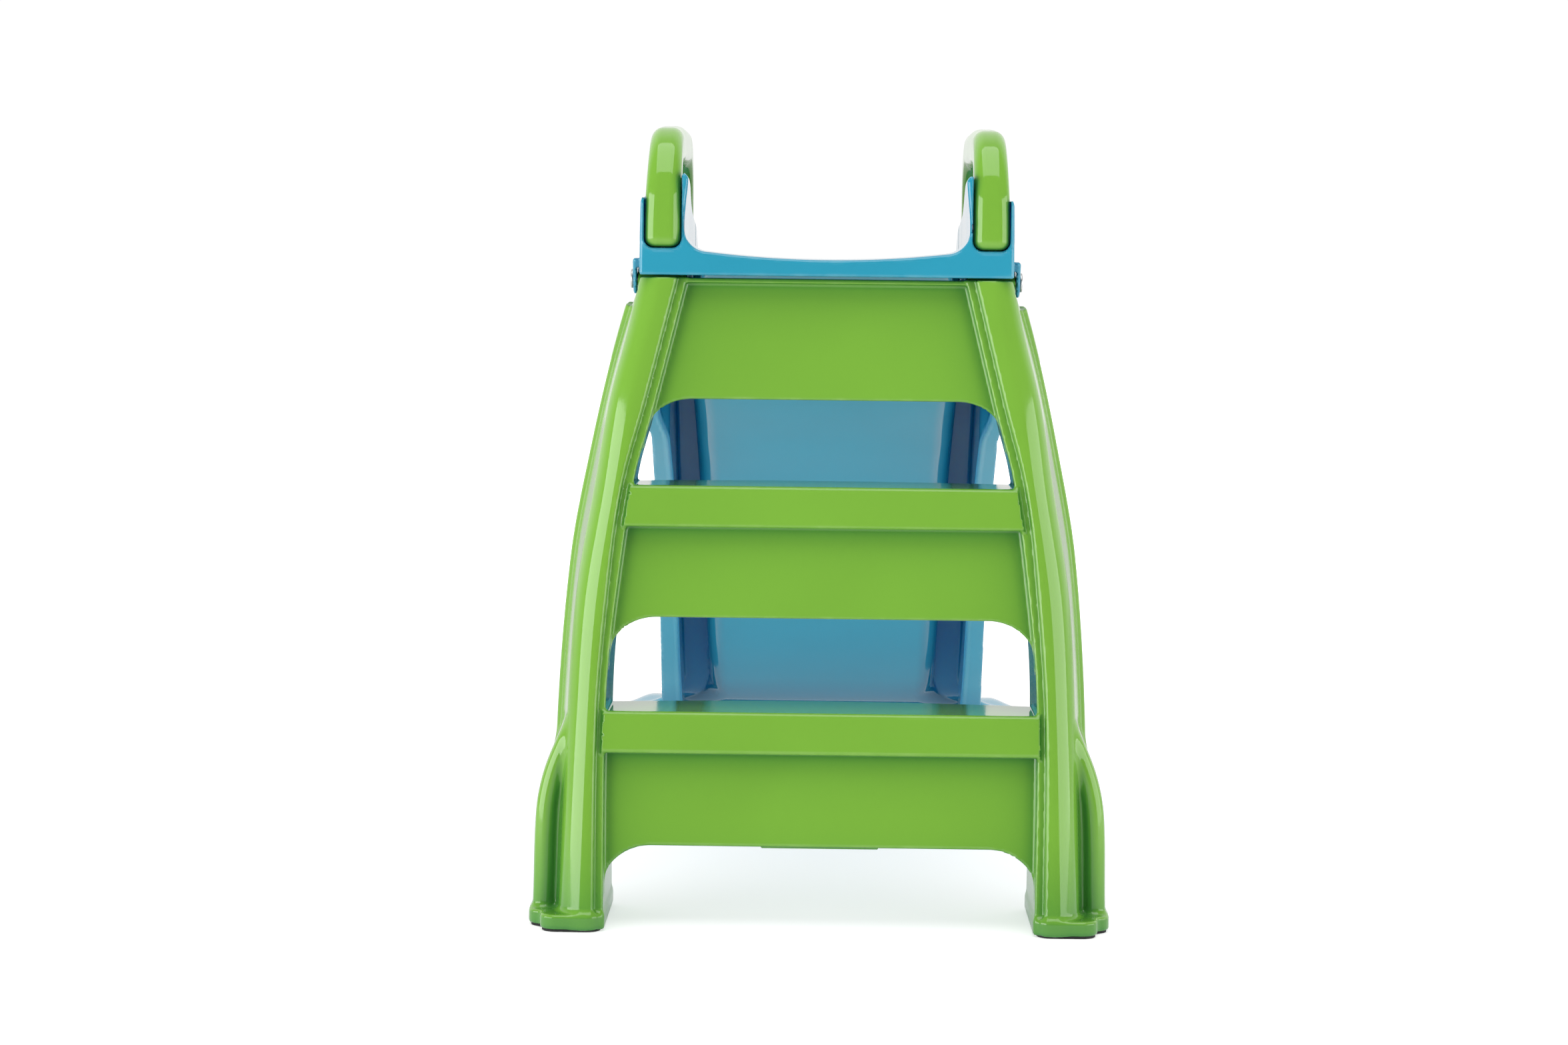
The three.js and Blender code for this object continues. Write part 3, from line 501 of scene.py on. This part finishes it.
def sampled(field, low, cells, step):
    """The field at the corners of a grid, worked out only in the blocks that its surface may cross."""
    block, steepest = 4, 2.1
    blocks = -(-cells // block)
    axes = [low[k] + (np.arange(blocks[k]) + 0.5) * block * step[k] for k in range(3)]
    centres = np.stack(np.meshgrid(*axes, indexing="ij"), -1).reshape(-1, 3)
    rough = field(*centres.T)
    reach = 0.5 * block * np.linalg.norm(step) * steepest + 1
    grid = rough.reshape(blocks)
    for k in range(3):
        grid = np.repeat(grid, block, axis=k)
    values = np.pad(grid, ((0, 1),) * 3, mode="edge").astype(np.float32)
    near = np.flatnonzero(np.abs(rough) < reach)
    offsets = np.stack(np.meshgrid(*[np.arange(block + 1)] * 3, indexing="ij"), -1).reshape(-1, 3)
    for part in np.array_split(near, max(1, len(near) // 6000)):
        corner = np.stack(np.unravel_index(part, blocks), -1) * block
        index = (corner[:, None, :] + offsets[None]).reshape(-1, 3)
        place = low + index * step
        values[tuple(index.T)] = field(*place.T)
    return values


def net(values):
    """Surface nets: a vertex for each cell that the surface crosses and a quad for each crossed edge."""
    size = np.array(values.shape)
    corners = [values[x:size[0] - 1 + x, y:size[1] - 1 + y, z:size[2] - 1 + z]
               for x in (0, 1) for y in (0, 1) for z in (0, 1)]
    inside = sum((c < 0).astype(np.int8) for c in corners)
    crossed = np.argwhere((inside > 0) & (inside < 8))
    at = tuple(crossed.T)
    corner_values = np.stack([c[at] for c in corners], -1)
    corner_places = np.array([[k >> 2 & 1, k >> 1 & 1, k & 1] for k in range(8)], float)
    total, count = np.zeros((len(crossed), 3)), np.zeros(len(crossed))
    for a, c in EDGES:
        va, vc = corner_values[:, a], corner_values[:, c]
        cut = (va < 0) != (vc < 0)
        t = np.where(cut, va / np.where(cut, va - vc, 1), 0)[:, None]
        total += np.where(cut[:, None], corner_places[a] + t * (corner_places[c] - corner_places[a]), 0)
        count += cut
    number = np.full(size - 1, -1, np.int64)
    number[at] = np.arange(len(crossed))
    quads = []
    for axis in range(3):
        u, v = (axis + 1) % 3, (axis + 2) % 3
        first = [slice(1, -1)] * 3
        first[axis] = slice(0, size[axis] - 1)
        second = list(first)
        second[axis] = slice(1, size[axis])
        a, c = values[tuple(first)] < 0, values[tuple(second)] < 0
        edge = np.argwhere(a != c)
        outward = a[tuple(edge.T)]
        base = edge + 1
        base[:, axis] -= 1
        step_u, step_v = np.eye(3, dtype=int)[u], np.eye(3, dtype=int)[v]
        around = [base - du * step_u - dv * step_v for du, dv in ((1, 1), (0, 1), (0, 0), (1, 0))]
        ring = [number[tuple(cell.T)] for cell in around]
        quad = np.stack(ring, -1)
        quads.append(np.where(outward[:, None], quad, quad[:, ::-1]))
    return crossed + total / count[:, None], np.concatenate(quads)


def gradient(field, place, step):
    parts = []
    for k in range(3):
        shift = np.zeros(3)
        shift[k] = step
        parts.append((field(*(place + shift).T) - field(*(place - shift).T)) / (2 * step))
    return np.stack(parts, -1)


def settled(field, place, limit, passes=3):
    """The places moved onto the field's surface, by at most the limit in each pass."""
    for _ in range(passes):
        slope = gradient(field, place, 0.05)
        length = np.maximum((slope ** 2).sum(-1), 0.2)
        move = -slope * (field(*place.T) / length)[:, None]
        far = np.maximum(np.linalg.norm(move, axis=-1) / limit, 1)
        place = place + move / far[:, None]
    return place


def moulded(name, field, low, high, step):
    """A mesh of a field inside a box, with its vertices on the surface and its normals from the field."""
    step = np.array(step if np.ndim(step) else (step,) * 3, float)
    low = np.array(low, float) - 1.37 * step
    cells = np.ceil((np.array(high) + 1.6 * step - low) / step).astype(int)
    vertices, quads = net(sampled(field, low, cells, step))
    place = settled(field, low + vertices * step, 0.45 * step.min())
    normal = gradient(field, place, 0.12)
    normal /= np.maximum(np.linalg.norm(normal, axis=-1, keepdims=True), 1e-9)
    made = quad_mesh(name, place, quads)
    mesh = made.data
    if len(mesh.vertices) == len(normal):
        mesh.normals_split_custom_set_from_vertices(normal.astype(np.float32))
    return made


def quad_mesh(name, place, quads):
    """A smooth-shaded object of these places in mm and quads, in the scene."""
    mesh = bpy.data.meshes.new(name)
    mesh.vertices.add(len(place))
    mesh.vertices.foreach_set("co", ((place + (0, FRONT_Y, 0)) * MM).astype(np.float32).ravel())
    mesh.loops.add(quads.size)
    mesh.loops.foreach_set("vertex_index", quads.astype(np.int32).ravel())
    mesh.polygons.add(len(quads))
    mesh.polygons.foreach_set("loop_start", np.arange(0, quads.size, 4, dtype=np.int32))
    mesh.polygons.foreach_set("loop_total", np.full(len(quads), 4, np.int32))
    mesh.update(calc_edges=True)
    mesh.validate()
    mesh.shade_smooth()
    made = bpy.data.objects.new(name, mesh)
    bpy.context.scene.collection.objects.link(made)
    return made


# ---- Materials ----


class Nodes:
    """A small helper that adds shader nodes and links them."""

    def __init__(self, name):
        self.material = bpy.data.materials.new(name)
        self.material.use_nodes = True
        self.tree = self.material.node_tree
        self.shader = self.tree.nodes["Principled BSDF"]
        self.place = self.add("ShaderNodeTexCoord").outputs["Object"]

    def add(self, kind, **values):
        node = self.tree.nodes.new(kind)
        for key, value in values.items():
            if key in node.inputs:
                node.inputs[key].default_value = value
            else:
                setattr(node, key, value)
        return node

    def link(self, output, node, socket):
        self.tree.links.new(output, node.inputs[socket])

    def noise(self, scale, detail=3.0, roughness=0.5):
        node = self.add("ShaderNodeTexNoise", Scale=scale, Detail=detail, Roughness=roughness)
        self.link(self.place, node, "Vector")
        return node.outputs["Fac"]

    def ramp(self, value, low, high, start=0.0, end=1.0):
        node = self.add("ShaderNodeMapRange")
        for key, number in (("From Min", low), ("From Max", high), ("To Min", start), ("To Max", end)):
            node.inputs[key].default_value = number
        self.link(value, node, "Value")
        return node.outputs["Result"]

    def blend(self, factor, a, b):
        """Mixes two colours; each is a colour or another node's output."""
        node = self.add("ShaderNodeMix", data_type="RGBA")
        self.link(factor, node, 0)
        for index, colour in ((6, a), (7, b)):
            if isinstance(colour, tuple):
                node.inputs[index].default_value = (*colour, 1)
            else:
                self.tree.links.new(colour, node.inputs[index])
        return node.outputs[2]

    def edges(self, low, high):
        """About 1 on convex edges and 0 elsewhere."""
        return self.ramp(self.add("ShaderNodeNewGeometry").outputs["Pointiness"], low, high)

    def bump(self, height, strength, distance):
        node = self.add("ShaderNodeBump", Strength=strength, Distance=distance)
        self.link(height, node, "Height")
        self.link(node.outputs["Normal"], self.shader, "Normal")

    def combined(self, operation, a, b):
        """A sum or product, where b is a number or another node's output."""
        node = self.add("ShaderNodeMath", operation=operation)
        self.tree.links.new(a, node.inputs[0])
        if isinstance(b, float):
            node.inputs[1].default_value = b
        else:
            self.tree.links.new(b, node.inputs[1])
        return node.outputs[0]

    def product(self, a, b):
        return self.combined("MULTIPLY", a, b)

    def total(self, a, b):
        return self.combined("ADD", a, b)

    def fix(self, **values):
        """Sets the shader's inputs; an underscore in a name stands for a space."""
        for key, value in values.items():
            self.shader.inputs[key.replace("_", " ")].default_value = value


def shade(colour, by):
    return tuple(min(1.0, c * by) for c in colour)


def moulded_plastic(name, colour, pale, painted_shade, inside=None):
    """Glossy moulded polyethylene: a drift in tone, ripple, rubbed edges, painted shade in hollows and
    corners, a painted darker shade on the inside faces of hollow wings when an inside colour is given, and
    scuffs.
    """
    n = Nodes(name)
    drift = n.ramp(n.noise(7.0, 2.0), 0.35, 0.65)
    tone = n.blend(drift, shade(colour, 0.97), shade(colour, 1.03))
    rubbed = n.product(n.edges(0.512, 0.56), n.ramp(n.noise(60.0, 4.0), 0.45, 0.7))
    tone = n.blend(n.product(rubbed, 0.35), tone, pale)
    # Painted shade: the colour darkens where an occlusion test finds nearby surfaces, as under nosings and
    # in recesses and corners.
    ao_for_painted_shade = n.add("ShaderNodeAmbientOcclusion", samples=8, Distance=0.085).outputs["AO"]
    tone = n.blend(n.ramp(ao_for_painted_shade, 0.42, 0.99), painted_shade, tone)
    # Painted shade: the inside faces of the hollow wings take a darker colour. Their duller gloss and
    # subsurface scattering are the material's own.
    if inside:
        mark = n.add("ShaderNodeAttribute", attribute_name="inside").outputs["Fac"]
        tone = n.blend(mark, tone, inside)
        n.link(n.ramp(mark, 0, 1, 0.5, 0.12), n.shader, "Specular IOR Level")
        n.link(n.ramp(mark, 0, 1, 0.0, 0.85), n.shader, "Subsurface Weight")
        n.fix(Subsurface_Radius=(0.15, 0.7, 1.0), Subsurface_Scale=0.008)
    n.link(tone, n.shader, "Base Color")
    scuffs = n.ramp(n.noise(220.0, 6.0, 0.7), 0.62, 0.8, 0.0, 0.16)
    mist = n.ramp(n.noise(14.0, 3.0), 0.3, 0.7, 0.06, 0.12)
    n.link(n.total(scuffs, mist), n.shader, "Roughness")
    n.bump(n.noise(420.0, 2.0), 0.05, 0.0004)
    n.fix(IOR=1.5, Coat_Weight=0.2, Coat_Roughness=0.04)
    return n.material


def zinc_steel(name, colour):
    """Zinc-plated steel, with a fine grain and a cloudy passivated tone."""
    n = Nodes(name)
    cloud = n.ramp(n.noise(350.0, 4.0), 0.35, 0.7)
    n.link(n.blend(cloud, shade(colour, 0.85), shade(colour, 1.12)), n.shader, "Base Color")
    n.fix(Metallic=1.0)
    n.link(n.ramp(n.noise(900.0, 3.0), 0.3, 0.7, 0.24, 0.42), n.shader, "Roughness")
    n.bump(n.noise(1600.0, 2.0), 0.12, 0.0002)
    return n.material


def pad_rubber(name, colour):
    """Matt rubber with a fine grain, dustier on its edges."""
    n = Nodes(name)
    dust = n.product(n.edges(0.505, 0.56), n.ramp(n.noise(180.0, 5.0), 0.4, 0.7))
    n.link(n.blend(dust, colour, (0.16, 0.155, 0.15)), n.shader, "Base Color")
    n.link(n.ramp(n.noise(260.0, 3.0), 0.3, 0.7, 0.68, 0.9), n.shader, "Roughness")
    n.bump(n.noise(1500.0, 4.0), 0.35, 0.0004)
    return n.material


# Painted shade: the third colour given to each moulding darkens it in its hollows and corners.
GREEN = moulded_plastic("green_moulding", (0.205, 0.468, 0.045),
                        pale=(0.42, 0.66, 0.2), painted_shade=(0.06, 0.27, 0.04))
# Painted shade: the blue's fourth colour darkens the inside faces of its hollow wings.
BLUE = moulded_plastic("blue_moulding", (0.025, 0.337, 0.495),
                       pale=(0.2, 0.52, 0.62), painted_shade=(0.012, 0.24, 0.4), inside=(0.02, 0.24, 0.42))
PIN_STEEL = zinc_steel("pin_steel", (0.62, 0.62, 0.61))
SCREW_STEEL = zinc_steel("screw_steel", (0.6, 0.59, 0.55))
RUBBER = pad_rubber("pad_rubber", (0.018, 0.018, 0.019))


# ---- Pieces ----


def piece(name, node, body, material, field, step):
    """Builds one visual piece around its CAD node and fixes it to that node's body."""
    low, high = node_box(node)
    made = moulded(name, field, low, high, step)
    made.data.materials.append(material)
    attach(made, body)
    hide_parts(node)
    return made


def mark_channels(mesh):
    """Marks the inside of the hollow wings, for the material's painted darker shade, duller gloss and
    subsurface scattering there.
    """
    place = np.empty(len(mesh.vertices) * 3, np.float32)
    mesh.vertices.foreach_get("co", place)
    x, b, z = place.reshape(-1, 3).T / MM - np.array([[0], [FRONT_Y], [0]])
    inner, outer, _, _ = slide_measures(b)
    x = np.abs(x)
    across = smooth((x - inner - 1.2) / 1.5) * smooth((outer - 1.2 - x) / 1.5)
    mark = across * (slide_solid(x, b, z) < -1.5)
    attribute = mesh.attributes.new("inside", "FLOAT", "POINT")
    attribute.data.foreach_set("value", mark.astype(np.float32))


def either_handrail(x, b, z):
    return handrail_field(np.abs(x), b, z)


# The sides of a sampling cell in mm, finer for the smaller pieces and the thinner parts.
BODY_CELL = (1.9, 1.9, 1.75)
FOOT_CELL = (0.85, 0.85, 0.45)
EXIT_CELL = (1.0, 1.0, 0.45)
LADDER_CELL, BAR_CELL, LATCH_CELL, PIN_CELL, SCREW_CELL = 1.7, 1.6, 0.8, 0.5, 0.3


def green_piece(name, node, body, field, step):
    return piece(name, node, body, GREEN, field, step)


def blue_piece(name, node, field, step):
    return piece(name, node, "slide", BLUE, field, step)


def pin_piece(name, node, body, field):
    return piece(name, node, body, PIN_STEEL, field, PIN_CELL)


def screw_piece(name, node, body, field):
    return piece(name, node, body, SCREW_STEEL, field(node), SCREW_CELL)


def rubber_piece(name, node, body, field, step):
    return piece(name, node, body, RUBBER, field, step)


slide_moulding = blue_piece("slide_moulding", "slide_body", slide_field, BODY_CELL)
mark_channels(slide_moulding.data)
green_piece("ladder_moulding", "ladder_frame", "ladder", ladder_field, LADDER_CELL)
for hand in ("left", "right"):
    green_piece(f"handrail_loop_{hand}", f"handrail_{hand}", "slide", either_handrail, BAR_CELL)
    pin_piece(f"hinge_pin_turned_{hand}", f"hinge_pin_{hand}", "slide", hinge_pin_field)
    blue_piece(f"hinge_cap_pressed_{hand}", f"hinge_cap_{hand}", hinge_cap_field, PIN_CELL)
    rubber_piece(f"foot_grip_{hand}", f"foot_pad_{hand}", "ladder", foot_pad_field, FOOT_CELL)
    rubber_piece(f"exit_grip_{hand}", f"exit_pad_{hand}", "slide", exit_pad_field, EXIT_CELL)
    screw_piece(f"latch_fixing_{hand}", f"latch_screw_{hand}", "ladder", latch_screw)
    for end in ("near", "far"):
        place = f"{hand}_{end}"
        screw_piece(f"handrail_fixing_{place}", f"handrail_screw_{place}", "slide", handrail_screw)
green_piece("latch_plate", "latch_bracket", "ladder", latch_bracket_field, LATCH_CELL)
green_piece("latch_hook", "latch_lever", "latch", latch_lever_field, LATCH_CELL)
pin_piece("latch_pivot_pin", "latch_pin", "ladder", latch_pin_field)


# ---- Stage, lights and camera ----


def floor():
    half = 14.0
    corners = [(-half, -half, 0), (half, -half, 0), (half, half, 0), (-half, half, 0)]
    mesh = bpy.data.meshes.new("floor")
    mesh.from_pydata(corners, [], [(0, 1, 2, 3)])
    made = bpy.data.objects.new("floor", mesh)
    bpy.context.scene.collection.objects.link(made)
    n = Nodes("pale_floor")
    n.fix(Base_Color=(0.7, 0.7, 0.7, 1), Emission_Color=(1, 1, 1, 1))
    n.fix(Roughness=0.6, Specular_IOR_Level=0.1)
    seen = n.add("ShaderNodeLightPath").outputs["Is Camera Ray"]
    span = n.add("ShaderNodeVectorMath", operation="LENGTH")
    n.link(n.place, span, 0)
    far = n.product(seen, n.ramp(span.outputs["Value"], 0.9, 2.4, 0.3, 1.2))
    n.link(n.total(far, 0.30), n.shader, "Emission Strength")
    mesh.materials.append(n.material)


def softbox(name, place, target, width, height, power):
    light = bpy.data.lights.new(name, "AREA")
    light.shape = "RECTANGLE"
    light.size, light.size_y, light.energy = width, height, power
    made = bpy.data.objects.new(name, light)
    made.location = place
    made.rotation_euler = (Vector(target) - Vector(place)).to_track_quat("-Z", "Y").to_euler()
    bpy.context.scene.collection.objects.link(made)


def studio():
    world = bpy.data.worlds.new("studio")
    bpy.context.scene.world = world
    world.use_nodes = True
    tree = world.node_tree
    soft = tree.nodes["Background"]
    soft.inputs["Color"].default_value = (1, 1, 1, 1)
    place = tree.nodes.new("ShaderNodeTexCoord")
    split = tree.nodes.new("ShaderNodeSeparateXYZ")
    backdrop = tree.nodes.new("ShaderNodeMapRange")
    for key, number in (("From Min", 0.05), ("From Max", 0.6), ("To Min", 0.2), ("To Max", 0.95)):
        backdrop.inputs[key].default_value = number
    tree.links.new(place.outputs["Generated"], split.inputs[0])
    tree.links.new(split.outputs["Y"], backdrop.inputs["Value"])
    tree.links.new(backdrop.outputs["Result"], soft.inputs["Strength"])
    white = tree.nodes.new("ShaderNodeBackground")
    white.inputs["Color"].default_value = (1, 1, 1, 1)
    white.inputs["Strength"].default_value = 1.02
    seen = tree.nodes.new("ShaderNodeLightPath")
    choose = tree.nodes.new("ShaderNodeMixShader")
    tree.links.new(seen.outputs["Is Camera Ray"], choose.inputs[0])
    tree.links.new(soft.outputs[0], choose.inputs[1])
    tree.links.new(white.outputs[0], choose.inputs[2])
    tree.links.new(choose.outputs[0], tree.nodes["World Output"].inputs["Surface"])
    middle = (0, FRONT_Y * MM + 0.05, 0.3)
    softbox("softbox_left", (-1.72, -1.35, 0.45), middle, 2.2, 0.85, 23)
    softbox("softbox_right", (1.84, -1.05, 0.45), middle, 2.2, 0.85, 15)
    softbox("softbox_top", (0, -0.9, 2.3), (0, -0.2, 0), 2.0, 2.0, 29)


def camera():
    """The eye stands in front of the ladder at platform height, and looks slightly down and to the left."""
    distance, height = 2452.0, 483.4
    made = bpy.data.objects.new("camera", bpy.data.cameras.new("camera"))
    made.data.sensor_width = 36.0
    made.data.lens = 79.378
    made.location = (0, (FRONT_Y - distance) * MM, height * MM)
    pitch, yaw, roll = math.radians(4.336), math.radians(0.656), math.radians(0.669)
    aim = Vector((-math.sin(yaw) * math.cos(pitch), math.cos(yaw) * math.cos(pitch), -math.sin(pitch)))
    turn = aim.to_track_quat("-Z", "Y")
    made.rotation_mode = "QUATERNION"
    made.rotation_quaternion = turn @ Quaternion((0, 0, 1), roll)
    bpy.context.scene.collection.objects.link(made)
    bpy.context.scene.camera = made


floor()
studio()
camera()
bpy.context.scene.view_settings.view_transform = "Standard"
